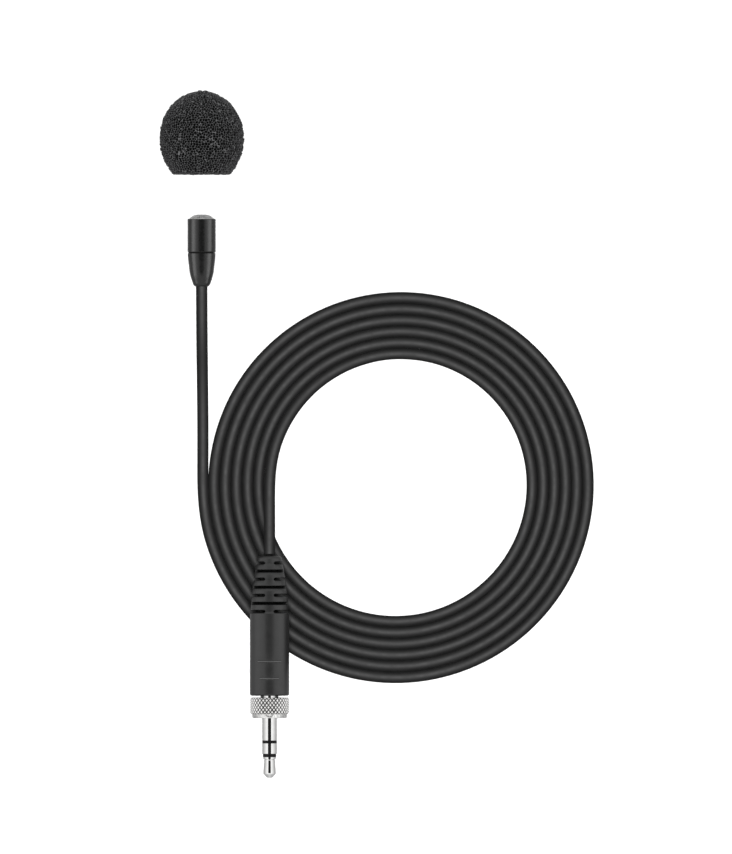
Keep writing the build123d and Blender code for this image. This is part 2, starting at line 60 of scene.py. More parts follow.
# ---------------------------------------------------------------- axis frames
class AxisFrame:
    """A local frame whose y axis is a turned piece's axis."""

    def __init__(self, origin, along):
        self.origin = np.array(origin, float)
        y = np.array(along, float)
        self.y = y / np.linalg.norm(y)
        self.x = np.array((1.0, 0.0, 0.0))
        self.z = np.cross(self.x, self.y)

    def place(self, points):
        """Local points, as rows, in the row frame."""
        points = np.asarray(points, float)
        return self.origin + points @ np.array((self.x, self.y, self.z))


tail_low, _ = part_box("tail_cone")
screen_low, screen_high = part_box("foam_windscreen")
nut_joint = next(j for j in frame["joints"] if j["name"] == "lock_nut_spin")
AXIS_Z = (screen_low.z + screen_high.z) / 2 / MM
EXIT_Y = tail_low.y / MM
HEAD = AxisFrame((0, EXIT_Y, AXIS_Z), (0, 1, 0))
SCREEN = AxisFrame((0, screen_low.y / MM, AXIS_Z), (0, 1, 0))
PLUG = AxisFrame([v / MM for v in nut_joint["pos_m"]], [-v for v in nut_joint["axis"]])


# ---------------------------------------------------------------- materials
class Graph:
    """Short calls for one node tree."""

    def __init__(self, tree):
        self.tree = tree

    def node(self, kind, values=(), **settings):
        made = self.tree.nodes.new(kind)
        for key, value in settings.items():
            setattr(made, key, value)
        for key, value in dict(values).items():
            if isinstance(value, bpy.types.NodeSocket):
                self.tree.links.new(value, made.inputs[key])
            else:
                made.inputs[key].default_value = value
        return made

    def coords(self):
        return self.node("ShaderNodeTexCoord").outputs["Object"]

    def noise(self, size_mm, detail=2.0, roughness=0.5, vector=None):
        """Noise whose features are about size_mm across."""
        made = self.node("ShaderNodeTexNoise", {
            "Vector": vector or self.coords(), "Scale": 1 / (size_mm * MM), "Detail": detail,
            "Roughness": roughness})
        return made.outputs["Fac"]

    def cell_edges(self, size_mm):
        """Distance to the nearest border between cells about size_mm across."""
        made = self.node("ShaderNodeTexVoronoi", {
            "Vector": self.coords(), "Scale": 1 / (size_mm * MM)}, feature="DISTANCE_TO_EDGE")
        return made.outputs["Distance"]

    def attribute(self, name):
        """A number that the mesh holds at each point."""
        return self.node("ShaderNodeAttribute", attribute_name=name).outputs["Fac"]

    def ramp(self, fac, *stops):
        """A colour or grey at each (place, value) of a factor."""
        made = self.node("ShaderNodeValToRGB", {"Fac": fac})
        elements = made.color_ramp.elements
        while len(elements) < len(stops):
            elements.new(0.5)
        for element, (place, value) in zip(elements, stops):
            element.position = place
            element.color = (*value, 1) if isinstance(value, tuple) else (value, value, value, 1)
        return made.outputs["Color"]

    def math(self, operation, a, b=0.0):
        made = self.node("ShaderNodeMath", operation=operation)
        for index, value in enumerate((a, b)):
            if isinstance(value, bpy.types.NodeSocket):
                self.tree.links.new(value, made.inputs[index])
            else:
                made.inputs[index].default_value = value
        return made.outputs[0]

    def about_half(self, fac, share):
        """A factor's swing to either side of one half, times share."""
        return self.math("MULTIPLY", self.math("SUBTRACT", fac, 0.5), share)

    def stretched(self, x=1.0, y=1.0, z=1.0):
        """Object coordinates scaled per axis, for grain that runs one way."""
        made = self.node("ShaderNodeMapping", {"Vector": self.coords(), "Scale": (x, y, z)})
        return made.outputs["Vector"]

    def bump(self, height, depth_mm, under=None):
        """A normal bent by a height of 0 to 1, depth_mm deep, on top of another bump if given."""
        values = {"Height": height, "Distance": depth_mm * MM, "Strength": 1.0}
        if under is not None:
            values["Normal"] = under
        return self.node("ShaderNodeBump", values).outputs["Normal"]


def surface(name, **sockets):
    """A material with these Principled sockets set. Returns (material, graph, shader)."""
    material = bpy.data.materials.new(name)
    material.use_nodes = True
    shader = material.node_tree.nodes["Principled BSDF"]
    for key, value in sockets.items():
        shader.inputs[key.replace("_", " ")].default_value = value
    return material, Graph(material.node_tree), shader


def wire_up(graph, shader, colour=None, roughness=None, normal=None):
    """Link what is given to the shader's sockets."""
    for key, value in (("Base Color", colour), ("Roughness", roughness), ("Normal", normal)):
        if value is not None:
            graph.tree.links.new(value, shader.inputs[key])


def moulded(name, dark, light, grain_mm=0.12, depth_mm=0.006, rough=(0.42, 0.58), mottle_mm=2.5,
            **sockets):
    """Moulded plastic or rubber: a fine spark-eroded grain, and a slow drift of tone and polish."""
    material, graph, shader = surface(name, **sockets)
    drift = graph.noise(mottle_mm, 3)
    grain = graph.noise(grain_mm, 4, 0.6)
    wire_up(graph, shader,
            colour=graph.ramp(drift, (0.3, dark), (0.72, light)),
            roughness=graph.ramp(graph.noise(mottle_mm * 0.6, 4),
                                 (0.3, rough[0]), (0.7, rough[1])),
            normal=graph.bump(grain, depth_mm))
    return material


def metal(name, dark, light, grain, rough=(0.2, 0.3), depth_mm=0.002, grain_mm=0.08, **sockets):
    """Turned or drawn metal: fine lines along grain's long way, and cloudy polish."""
    material, graph, shader = surface(name, Metallic=1.0, **sockets)
    lines = graph.noise(grain_mm, 3, 0.65, vector=graph.stretched(*grain))
    wire_up(graph, shader,
            colour=graph.ramp(graph.noise(1.6, 4), (0.3, dark), (0.7, light)),
            roughness=graph.ramp(graph.noise(0.9, 5, 0.6),
                                 (0.32, rough[0]), (0.7, rough[1])),
            normal=graph.bump(lines, depth_mm))
    return material


def foam_material():
    """Open-cell foam: a colour that runs from pale on the strut crests to black in the cell mouths,
    painted highlight and shade, over a fine dusty texture.
    """
    material, graph, shader = surface("foam", Roughness=0.92, Specular_IOR_Level=0.25)
    fine = graph.noise(0.16, 3, 0.7)
    # The pore attribute, plus some speckle, darkens the colour toward each cell's floor: painted shade.
    painted_pore_shading = graph.math("ADD", graph.attribute("pore"), graph.about_half(fine, 0.5))
    wire_up(graph, shader,
            colour=graph.ramp(painted_pore_shading, (0.0, (0.128, 0.129, 0.131)), (0.25, (0.034, 0.034, 0.035)),
                              (0.46, 0.0004)),
            normal=graph.bump(graph.noise(0.12, 4, 0.7), 0.03))
    return material


def anodised_material():
    """Black anodised aluminium: satin, with hair-fine turning lines round the axis."""
    material, graph, shader = surface("black_anodised", Specular_IOR_Level=0.38)
    lines = graph.noise(0.05, 3, 0.6, vector=graph.stretched(0.06, 1, 0.06))
    speck = graph.noise(0.09, 2)
    wire_up(graph, shader,
            colour=graph.ramp(graph.noise(1.4, 4), (0.3, 0.0025), (0.72, 0.004)),
            roughness=graph.ramp(graph.noise(0.7, 5), (0.3, 0.26), (0.72, 0.32)),
            normal=graph.bump(lines, 0.0008, under=graph.bump(speck, 0.001)))
    return material


def cord_material():
    """Soft extruded jacket: a satin skin with faint die lines and handling marks."""
    material, graph, shader = surface("cord_jacket", Specular_IOR_Level=0.03)
    skin = graph.noise(0.22, 4, 0.6)
    marks = graph.noise(1.8, 5, 0.65)
    wire_up(graph, shader,
            colour=graph.ramp(marks, (0.3, 0.0025), (0.7, 0.0035)),
            roughness=graph.ramp(marks, (0.32, 0.66), (0.7, 0.74)),
            normal=graph.bump(skin, 0.004))
    return material


def overmould_material():
    """Fine matte rubber; painted shade makes it black and duller down inside the boot's slots and in
    the collar round the cord, and a painted highlight runs along the bars.
    """
    material, graph, shader = surface("overmould", Specular_IOR_Level=0.42)
    painted_shade = graph.attribute("painted_shade")
    outside = graph.math("SUBTRACT", 1.0, painted_shade)
    tone = graph.ramp(graph.noise(3.0, 3), (0.3, 0.01), (0.72, 0.012))
    polish = graph.ramp(graph.noise(1.8, 4), (0.3, 0.33), (0.7, 0.4))
    # Colour: the tone times one less the painted shade, so black where that is 1 and several times
    # paler where it is below 0.
    wire_up(graph, shader,
            colour=graph.math("MULTIPLY", tone, outside),
            roughness=graph.math("MAXIMUM", polish, painted_shade),
            normal=graph.bump(graph.noise(0.14, 4, 0.6), 0.004))
    return material


def knurl_material():
    """Bright nickel: polished, with painted shade darkening the knurl's grooves, cloudy, with finely
    pitted plating.
    """
    material, graph, shader = surface("nut_nickel", Metallic=1.0)
    painted_shade = graph.attribute("painted_shade")
    cloud = graph.about_half(graph.noise(0.5, 4), 0.5)
    wire_up(graph, shader,
            colour=graph.ramp(graph.math("ADD", painted_shade, cloud), (0.0, (0.97, 0.965, 0.95)),
                              (0.45, (0.84, 0.835, 0.825)), (0.85, (0.06, 0.06, 0.059))),
            roughness=graph.ramp(graph.noise(0.35, 4), (0.3, 0.16), (0.7, 0.28)),
            normal=graph.bump(graph.noise(0.07, 3), 0.003))
    return material


def jack_material():
    """Polished nickel contact: mirror finish with hairline turning marks."""
    material, graph, shader = surface("jack_nickel", Metallic=1.0)
    lines = graph.noise(0.04, 3, 0.6, vector=graph.stretched(0.05, 1, 0.05))
    wire_up(graph, shader,
            colour=graph.ramp(graph.noise(1.1, 4),
                              (0.3, (0.74, 0.738, 0.73)), (0.7, (0.8, 0.798, 0.79))),
            roughness=graph.ramp(graph.noise(0.6, 5), (0.3, 0.03), (0.7, 0.06)),
            normal=graph.bump(lines, 0.00006))
    return material


def printed_board():
    """Green solder mask over raised tracks, under a clear coat."""
    material, graph, shader = surface("board", Coat_Weight=0.4)
    tracks = graph.cell_edges(0.7)
    wire_up(graph, shader,
            colour=graph.ramp(tracks, (0.04, (0.05, 0.34, 0.12)), (0.09, (0.012, 0.13, 0.04))),
            roughness=graph.ramp(graph.noise(0.5), (0.3, 0.28), (0.7, 0.4)),
            normal=graph.bump(graph.ramp(tracks, (0.04, 1.0), (0.09, 0.0)), 0.02))
    return material


def twisted_copper():
    """Bare strands, twisted: bands that climb round the wire, with painted shade darkening the hollows
    between strands.
    """
    material, graph, shader = surface("wire_copper", Metallic=1.0)
    bands = graph.node("ShaderNodeTexWave", {
        "Vector": graph.coords(), "Scale": 900.0, "Distortion": 1.2}, bands_direction="DIAGONAL")
    height = bands.outputs["Fac"]
    wire_up(graph, shader,
            colour=graph.ramp(height, (0.1, (0.38, 0.16, 0.08)), (0.8, (0.86, 0.47, 0.3))),
            roughness=graph.ramp(graph.noise(0.3), (0.3, 0.25), (0.7, 0.4)),
            normal=graph.bump(height, 0.03))
    return material


ALONG_Y = (1, 0.08, 1)         # grain that runs along the axis, round it, or nowhere
ROUND_Y = (0.08, 1, 0.08)
NO_GRAIN = (1, 1, 1)
MATERIALS = {
    "foam": foam_material(),
    "black_anodised": anodised_material(),
    "steel_mesh": metal("steel_mesh", (0.6, 0.6, 0.6), (0.82, 0.82, 0.81), NO_GRAIN,
                        rough=(0.25, 0.4)),
    "felt": moulded("felt", 0.02, 0.045, grain_mm=0.08, depth_mm=0.04, rough=(0.85, 0.95),
                    mottle_mm=0.5, Sheen_Weight=0.3),
    "seal_rubber": moulded("seal_rubber", 0.002, 0.004, rough=(0.6, 0.75), mottle_mm=1.0,
                           Specular_IOR_Level=0.2),
    "can_aluminium": metal("can_aluminium", (0.66, 0.66, 0.67), (0.8, 0.8, 0.81), ALONG_Y),
    "brass": metal("brass", (0.68, 0.5, 0.22), (0.82, 0.64, 0.32), ROUND_Y),
    "film": metal("film", (0.74, 0.72, 0.62), (0.84, 0.82, 0.72), NO_GRAIN, rough=(0.1, 0.18),
                  grain_mm=0.5),
    "white_insulator": moulded("white_insulator", (0.72, 0.72, 0.7), (0.82, 0.82, 0.8),
                               mottle_mm=1.2),
    "board": printed_board(),
    "chip_black": moulded("chip_black", 0.012, 0.024, grain_mm=0.05, mottle_mm=0.4),
    "chip_ceramic": moulded("chip_ceramic", (0.44, 0.33, 0.2), (0.56, 0.43, 0.29),
                            grain_mm=0.06, mottle_mm=0.3),
    "wire_red": moulded("wire_red", (0.42, 0.02, 0.015), (0.58, 0.035, 0.025), rough=(0.28, 0.4),
                        mottle_mm=0.8),
    "wire_white": moulded("wire_white", (0.74, 0.74, 0.72), (0.86, 0.86, 0.85), rough=(0.28, 0.4),
                          mottle_mm=0.8),
    "wire_copper": twisted_copper(),
    "solder": metal("solder", (0.6, 0.6, 0.62), (0.78, 0.78, 0.8), NO_GRAIN, rough=(0.2, 0.36),
                    depth_mm=0.01, grain_mm=0.3),
    "cord_jacket": cord_material(),
    "overmould": overmould_material(),
    "shell_plastic": moulded("shell_plastic", 0.03, 0.05),
    "jack_nickel": jack_material(),
    "nut_nickel": knurl_material(),
    "jack_insulator": moulded("jack_insulator", 0.002, 0.004, depth_mm=0.002, rough=(0.3, 0.4),
                              mottle_mm=0.8, Specular_IOR_Level=0.2),
    "lug_tin": metal("lug_tin", (0.58, 0.57, 0.54), (0.74, 0.73, 0.7), ALONG_Y),
    "retainer_plastic": moulded("retainer_plastic", 0.008, 0.014, grain_mm=0.08, mottle_mm=1.0),
    "spring_steel": metal("spring_steel", (0.48, 0.48, 0.5), (0.62, 0.62, 0.64), ROUND_Y),
}
for node in frame["nodes"].values():
    for place, material in enumerate(node.data.materials):
        node.data.materials[place] = MATERIALS[material.name.split(".")[0]]


# ---------------------------------------------------------------- mesh making
def finish_piece(obj, slot, body, *nodes):
    """Material, slot, body and the CAD nodes that a piece stands for."""
    obj.data.materials.append(MATERIALS[slot])
    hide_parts(*nodes)
    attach(obj, body)
    return obj


def mesh_piece(name, points, faces, sharp_degrees=38):
    """An object from points in millimetres, with outward faces, smooth but for its sharp edges."""
    mesh = bpy.data.meshes.new(name)
    mesh.from_pydata((np.asarray(points) * MM).tolist(), [], faces)
    edit = bmesh.new()
    edit.from_mesh(mesh)
    bmesh.ops.recalc_face_normals(edit, faces=edit.faces)
    edit.to_mesh(mesh)
    edit.free()
    mesh.shade_smooth()
    mesh.set_sharp_from_angle(angle=math.radians(sharp_degrees))
    obj = bpy.data.objects.new(name, mesh)
    scene.collection.objects.link(obj)
    return obj


def ring_faces(rings, segments, closed):
    """Quads between neighbouring rings, and from the last back to the first when closed."""
    faces = []
    for k in range(rings if closed else rings - 1):
        a, b = k * segments, (k + 1) % rings * segments
        for s in range(segments):
            t = (s + 1) % segments
            faces.append((a + s, a + t, b + t, b + s))
    return faces


def lathe_points(place, angles, radii, along):
    """Points of a lathe: radii and along are (rings, segments) arrays in a local frame."""
    radii = np.asarray(radii, float)
    local = np.stack((radii * np.cos(angles), np.broadcast_to(along, radii.shape),
                      radii * np.sin(angles)), axis=-1)
    return place.place(local.reshape(-1, 3))


def full_turn(segments):
    return np.arange(segments) * (2 * math.pi / segments)


def triangle_wave(x):
    """0 at whole numbers, 1 half way between them."""
    return 1 - np.abs(2 * (x - np.floor(x)) - 1)


def smooth_step(low, high, x):
    t = np.clip((x - low) / (high - low), 0, 1)
    return t * t * (3 - 2 * t)


# ---------------------------------------------------------------- camera
VIEW_X, VIEW_Y = 39.37, -57.13     # middle of the view, straight down
VIEW_HEIGHT = 204.8                # length that the view's long side covers, at FOCUS_Z
EYE_HEIGHT = 4500.0
FOCUS_Z = 5.0
camera_data = bpy.data.cameras.new("camera")
camera_data.sensor_width = 36.0
camera_data.lens = camera_data.sensor_width * (EYE_HEIGHT - FOCUS_Z) / VIEW_HEIGHT
camera_data.clip_start = 0.1
camera_data.clip_end = 20.0
camera = bpy.data.objects.new("camera", camera_data)
camera.location = (VIEW_X * MM, VIEW_Y * MM, EYE_HEIGHT * MM)
scene.collection.objects.link(camera)
scene.camera = camera
scene.view_settings.view_transform = "Standard"

# ---------------------------------------------------------------- cord
COIL_X, COIL_Y = 47.1, -71.0
COIL_PITCH = 2.69
COIL_FIRST_R = 46.27
HALF_TURNS = 12                # the last one stops half way
POINTS_PER_HALF = 12
PLUG_BODY_LENGTH = 33.45
APPROACH_LENGTH = 8.0          # the cord's last straight run, into the boot


def coil_points():
    """Control points of half circles, each half a pitch smaller than the one before."""
    step = math.pi / POINTS_PER_HALF
    points = []
    for half in range(HALF_TURNS):
        lower = half % 2 == 0
        centre_x = COIL_X + (-1 if lower else 1) * COIL_PITCH / 4
        reach = (COIL_FIRST_R - half * COIL_PITCH / 2) / math.cos(step / 2)
        last = half == HALF_TURNS - 1
        for k in range(POINTS_PER_HALF // 2 if last else POINTS_PER_HALF):
            angle = (math.pi if lower else 0.0) + (k + 0.5) * step
            points.append((centre_x + reach * math.cos(angle),
                           COIL_Y + reach * math.sin(angle), CORD_SKIN_R))
    return points


# The CAD route's own listed points, with the coil's turns between the lead and the tail.
route = [
    (0, EXIT_Y, AXIS_Z),
    (0.03, -32.5, AXIS_Z),
    (0.15, -46.5, 3.4),
    (0.25, -59.0, CORD_SKIN_R),
    *coil_points(),
    (42.79, -39.52, CORD_SKIN_R),
    (33.3, -42.6, 2.2),
    (25.23, -48.46, 4.0),
    (19.37, -56.53, 6.0),
    (16.22, -66.0, 7.2),
    tuple(PLUG.place([(0, PLUG_BODY_LENGTH + APPROACH_LENGTH, 0)])[0]),
    tuple(PLUG.place([(0, PLUG_BODY_LENGTH, 0)])[0]),
]
cord_curve = bpy.data.curves.new("cord", "CURVE")
cord_curve.dimensions = "3D"
cord_curve.resolution_u = 6
cord_curve.bevel_depth = CORD_SKIN_R * MM
cord_curve.bevel_resolution = 7
cord_curve.use_fill_caps = True
spline = cord_curve.splines.new("NURBS")
spline.points.add(len(route) - 1)
for point, (x, y, z) in zip(spline.points, route):
    point.co = (x * MM, y * MM, z * MM, 1)
spline.order_u = 3
spline.use_endpoint_u = True
spline.use_smooth = True
cord = bpy.data.objects.new("cord", cord_curve)
scene.collection.objects.link(cord)
finish_piece(cord, "cord_jacket", "microphone", "cord_lead", "cord_coil", "cord_tail")

# ---------------------------------------------------------------- foam windscreen
SCREEN_R = 10.05
SCREEN_HALF_AXIS = 11.5        # of the egg, along the axis; the flat mouth cuts its back end off
SCREEN_LENGTH = 20.1
SCREEN_BORE_R = 3.4
SCREEN_BORE_DEPTH = 13.0
MOUTH_EDGE = 0.9               # radius of the rounding between the mouth and the outside
FOAM_SKIN = 0.1                # the outline that cells are cut into stands this far out
FOAM_SEGMENTS = 520
FOAM_STEP = 0.122              # between rings of the mesh, outside and in the bore
BORE_STEP = 0.3
FOAM_SEED = 11
CELL = 0.68                    # between neighbouring cells of a row
ROW = 0.87                     # between rows, in cells
JITTER = 0.21                  # how far centres stray from their rows, in cells
STRUT = 0.26                   # across the wall between two cells, from floor to floor
PORE_DEPTH = 0.42
SPIKE = 0.32                   # struts end anywhere in a layer this thick about the outline
SPIKE_SHARE = 0.4              # share of the cells with struts above the lowest
SPIKE_FALL = 0.4               # how much of a strut's extra height goes towards the cell's floor
BORE_LIP = 0.7                 # the cut surface is smooth at the bore, and fully rough this far from it


def walked(outline, spacing):
    """Points at even spacing along a line of (radius, along) points."""
    outline = np.asarray(outline, float)
    lengths = np.r_[0, np.cumsum(np.linalg.norm(np.diff(outline, axis=0), axis=1))]
    at = np.linspace(0, lengths[-1], int(lengths[-1] / spacing) + 1)
    return np.stack([np.interp(at, lengths, outline[:, i]) for i in (0, 1)], axis=1)


def screen_profile():
    """The bore, then the mouth and the outside, as (radius, along); and how many are the bore's."""
    middle = SCREEN_LENGTH - SCREEN_HALF_AXIS
    lowest = -math.asin((middle - MOUTH_EDGE) / SCREEN_HALF_AXIS)
    egg = [((SCREEN_R + FOAM_SKIN) * math.cos(t), middle + SCREEN_HALF_AXIS * math.sin(t))
           for t in np.linspace(lowest, math.pi / 2 - 0.004, 160)]
    rim_r = egg[0][0]
    corner = [(rim_r - MOUTH_EDGE * (1 - math.sin(t)), MOUTH_EDGE * (1 - math.cos(t)))
              for t in np.linspace(0, math.pi / 2, 8)]
    bore = walked([(0.12, SCREEN_BORE_DEPTH), (SCREEN_BORE_R, SCREEN_BORE_DEPTH),
                   (SCREEN_BORE_R, 0.4)], BORE_STEP)
    outside = walked([(SCREEN_BORE_R, 0.35), (SCREEN_BORE_R + 0.3, 0), *corner, *egg], FOAM_STEP)
    return np.concatenate((bore, outside)), len(bore)


def foam_cells(profile):
    """Cell centres, spread evenly but untidily over the lathed profile, and their struts' heights."""
    chance = np.random.default_rng(FOAM_SEED)
    centres = []
    for radius, along in walked(profile, CELL * ROW):
        count = max(1, round(2 * math.pi * radius / CELL))
        angles = full_turn(count) + chance.random()
        spots = lathe_points(SCREEN, angles, np.full((1, count), radius), np.full((1, count), along))
        centres.append(spots + chance.normal(0, CELL * JITTER, spots.shape))
    centres = np.concatenate(centres)
    tree = kdtree.KDTree(len(centres))
    for k, spot in enumerate(centres):
        tree.insert(spot, k)
    tree.balance()
    return tree, np.clip(1 + (chance.random(len(centres)) - 1) / SPIKE_SHARE, 0, 1)


def foam_windscreen():
    """The bore, the flat mouth and the egg-shaped outside, broken into open cells."""
    profile, bore_rings = screen_profile()
    tangent = np.gradient(profile, axis=0)
    tangent /= np.linalg.norm(tangent, axis=1)[:, None]
    outward = np.stack((tangent[:, 1], -tangent[:, 0]), axis=1)
    angles = full_turn(FOAM_SEGMENTS)
    ones = np.ones(FOAM_SEGMENTS)
    base = lathe_points(SCREEN, angles, profile[:, :1] * ones, profile[:, 1:] * ones)
    # These need no turning: the windscreen's axes are parallel to the scene's.
    normals = np.stack((outward[:, :1] * np.cos(angles), outward[:, 1:] * ones,
                        outward[:, :1] * np.sin(angles)), axis=-1).reshape(-1, 3)
    tree, heights = foam_cells(profile)
    pore, tall = np.empty((2, len(base)))
    for k, spot in enumerate(base):
        (_, nearest, first), (_, _, second) = tree.find_n(spot, 2)
        pore[k] = second - first
        tall[k] = heights[nearest]
    pore = smooth_step(0.0, STRUT, pore)
    past_bore = np.clip((np.arange(len(profile)) - bore_rings) * FOAM_STEP / BORE_LIP, 0, 1)
    rough = np.repeat(past_bore, FOAM_SEGMENTS)
    points = base + normals * (rough * SPIKE * (tall * (1 - SPIKE_FALL * pore) - 0.5)
                               - PORE_DEPTH * pore)[:, None]
    points[:, 2] = np.maximum(points[:, 2], 0)
    count = len(points)
    bottom = SCREEN.place([(0, SCREEN_BORE_DEPTH, 0)])
    top = SCREEN.place([(0, SCREEN_LENGTH, 0)])
    points = np.concatenate((points, bottom, top))
    faces = ring_faces(len(profile), FOAM_SEGMENTS, closed=False)
    last = count - FOAM_SEGMENTS
    for s in range(FOAM_SEGMENTS):
        t = (s + 1) % FOAM_SEGMENTS
        faces.append((count, t, s))
        faces.append((count + 1, last + s, last + t))
    obj = mesh_piece("foam_windscreen_cells", points, faces, sharp_degrees=180)
    layer = obj.data.attributes.new("pore", "FLOAT", "POINT")
    layer.data.foreach_set("value", np.r_[pore, 0.5, 0.5].astype(np.float32))
    finish_piece(obj, "foam", "windscreen", "foam_windscreen")


foam_windscreen()

# ---------------------------------------------------------------- woven grille
MESH_R = 2.98
DOME_HEIGHT = 1.05
HEAD_LENGTH = 17.2
CAN_FRONT = 15.4               # the front of the capsule's can, where the rim starts
WIRE_R = 0.055
WIRE_PITCH = 0.27
WIRE_SIDES = 6
SHORTEST_HALF = 0.25           # wires that would be shorter than twice this are left out
DOME_BULGE = 1.2               # fuller towards its rim than a sphere
DOME_SPHERE = (MESH_R ** 2 + DOME_HEIGHT ** 2) / (2 * DOME_HEIGHT)
DOME_CENTRE = HEAD_LENGTH - DOME_SPHERE
WEAVE_SPHERE = DOME_SPHERE - 2 * WIRE_R
RIM = HEAD_LENGTH - DOME_HEIGHT
RIM_SEGMENTS = 96
RIM_OUTLINE = ((2.83, CAN_FRONT), (2.97, CAN_FRONT), (2.97, RIM + 0.02), (2.93, RIM + 0.1),
               (2.85, RIM + 0.12), (2.78, RIM + 0.07), (2.77, RIM), (2.83, RIM - 0.08))


def dome_wire(way, offset, half, first_wave):
    """One wire's centre line over the dome, with two directions across it at each point."""
    samples = max(8, int(half * 2 / (WIRE_PITCH / 4)))
    run = np.linspace(-half, half, samples)
    wave = np.cos(math.pi * run / WIRE_PITCH) * first_wave
    across = np.full(samples, offset)
    x, z = (run, across) if way == 0 else (across, run)
    up = np.sqrt(WEAVE_SPHERE ** 2 - x ** 2 - z ** 2)
    normal = np.stack((x, up, z), axis=1) / WEAVE_SPHERE
    centre = normal * (WEAVE_SPHERE + wave * WIRE_R * 0.95)[:, None] + (0, DOME_CENTRE, 0)
    reach = np.hypot(x, z) / MESH_R
    centre[:, 1] += DOME_BULGE * (reach ** 2 - reach ** 3)
    tangent = np.gradient(centre, axis=0)
    tangent /= np.linalg.norm(tangent, axis=1)[:, None]
    side = np.cross(tangent, normal)
    side /= np.linalg.norm(side, axis=1)[:, None]
    return centre, side, np.cross(side, tangent)


def add_faces(faces, more, start):
    """More faces, whose points are counted from start."""
    faces.extend(tuple(start + i for i in face) for face in more)


def woven_grille():
    """Two sets of crossing wires that pass over and under each other, in a rolled rim."""
    points, faces = [], []
    lines = int(MESH_R / WIRE_PITCH)
    for way in (0, 1):
        for line in range(-lines, lines + 1):
            offset = line * WIRE_PITCH
            half = math.sqrt(max(0.0, (MESH_R - 0.09) ** 2 - offset ** 2))
            if half < SHORTEST_HALF:
                continue
            start = len(points)
            wire = dome_wire(way, offset, half, 1 if (line + way) % 2 else -1)
            for centre, side, upright in zip(*wire):
                for a in full_turn(WIRE_SIDES):
                    points.append(centre + WIRE_R * (math.cos(a) * side + math.sin(a) * upright))
            samples = len(wire[0])
            add_faces(faces, ring_faces(samples, WIRE_SIDES, closed=False), start)
            add_faces(faces, [range(WIRE_SIDES)], start)
            add_faces(faces, [range(WIRE_SIDES)], start + (samples - 1) * WIRE_SIDES)
    start = len(points)
    angles = full_turn(RIM_SEGMENTS)
    rings = np.array(RIM_OUTLINE)
    local = np.stack((rings[:, :1] * np.cos(angles), rings[:, 1:] * np.ones(RIM_SEGMENTS),
                      rings[:, :1] * np.sin(angles)), axis=-1).reshape(-1, 3)
    points.extend(local)
    add_faces(faces, ring_faces(len(RIM_OUTLINE), RIM_SEGMENTS, closed=True), start)
    obj = mesh_piece("grille_weave", HEAD.place(points), faces, sharp_degrees=60)
    finish_piece(obj, "steel_mesh", "microphone", "grille_mesh")


woven_grille()

# ---------------------------------------------------------------- knurled locking nut
NUT_R = 4.62
KNURL_START, KNURL_END = -0.5, -4.4
KNURL_RINGS = 62
KNURL_DEPTH = 0.3
KNURL_BEVEL = 0.24             # the knurl falls away this far from each end
DIAMONDS = 31
DIAMOND_PITCH = 1.12
DIAMOND_TOP = 0.82             # the waves are cut off at this height, which leaves flat tops
NUT_SEGMENTS = 12 * DIAMONDS
NUT_END = -5.35
LIP_R = 4.12
LIP_SHADE = 0.52               # the plain lip's colour is set darker than the knurl's tops
THREAD_R = 3.45
THREAD_PITCH = 0.5
THREAD_DEPTH = 0.17
THREAD_RINGS = 56
NUT_WALL_FRONT = -1.55         # where the thread ends, at the wall that the neck goes through
NUT_BORE = 2.16                # the hole in that wall


class Lathe:
    """Rings of one turned piece in order, each with a painted shade for its colour: 1 for painted shade
    deep in a groove, below 0 for a painted highlight on a pale edge.
    """

    def __init__(self, segments):
        self.angles = full_turn(segments)
        self.rings = []

    def ring(self, radius, along, shade=0.0):
        """Add a ring; each value is one number, or an array with one for each angle."""
        ones = np.ones(len(self.angles))
        self.rings.append((radius * ones, along * ones, shade * ones))

    def piece(self, name, place, sharp_degrees):
        """The closed mesh, with the painted shades as a point attribute for the colour."""
        radii, along, shades = (np.array(values) for values in zip(*self.rings))
        obj = mesh_piece(name, lathe_points(place, self.angles, radii, along),
                         ring_faces(len(radii), len(self.angles), closed=True), sharp_degrees)
        layer = obj.data.attributes.new("painted_shade", "FLOAT", "POINT")
        layer.data.foreach_set("value", shades.astype(np.float32).ravel())
        return obj


def lock_nut():
    """Diamond knurl outside, a plain lip, and a cut thread inside."""
    lathe = Lathe(NUT_SEGMENTS)
    turns = lathe.angles / (2 * math.pi)
    lathe.ring(NUT_BORE, KNURL_START)
    lathe.ring(3.9, KNURL_START)
    for along in np.linspace(KNURL_START - 0.02, KNURL_END + 0.02, KNURL_RINGS):
        one = triangle_wave(DIAMONDS * turns + along / DIAMOND_PITCH)
        two = triangle_wave(DIAMONDS * turns - along / DIAMOND_PITCH)
        height = np.minimum(np.minimum(one, two), DIAMOND_TOP) / DIAMOND_TOP
        edge = min(KNURL_START - along, along - KNURL_END)
        limit = NUT_R - max(0.0, KNURL_BEVEL - edge) * 0.9
        # The shade given here is painted shade, deepest at the bottom of the knurl's grooves.
        lathe.ring(np.minimum(NUT_R - KNURL_DEPTH * (1 - height), limit), along, 1 - height)
    for radius, along in ((4.2, KNURL_END), (LIP_R, KNURL_END - 0.06), (LIP_R, NUT_END + 0.16),
                          (LIP_R - 0.05, NUT_END + 0.05), (LIP_R - 0.16, NUT_END),
                          (THREAD_R + 0.3, NUT_END)):
        lathe.ring(radius, along, LIP_SHADE)
    lathe.ring(THREAD_R + 0.1, NUT_END + 0.2)
    for along in np.linspace(NUT_END + 0.25, NUT_WALL_FRONT - 0.05, THREAD_RINGS):
        lathe.ring(THREAD_R + THREAD_DEPTH * triangle_wave(along / THREAD_PITCH + turns), along)
    lathe.ring(THREAD_R, NUT_WALL_FRONT)
    lathe.ring(NUT_BORE, NUT_WALL_FRONT)
    return finish_piece(lathe.piece("lock_nut_knurled", PLUG, 28), "nut_nickel", "lock_nut",
                        "lock_nut")


nut = lock_nut()

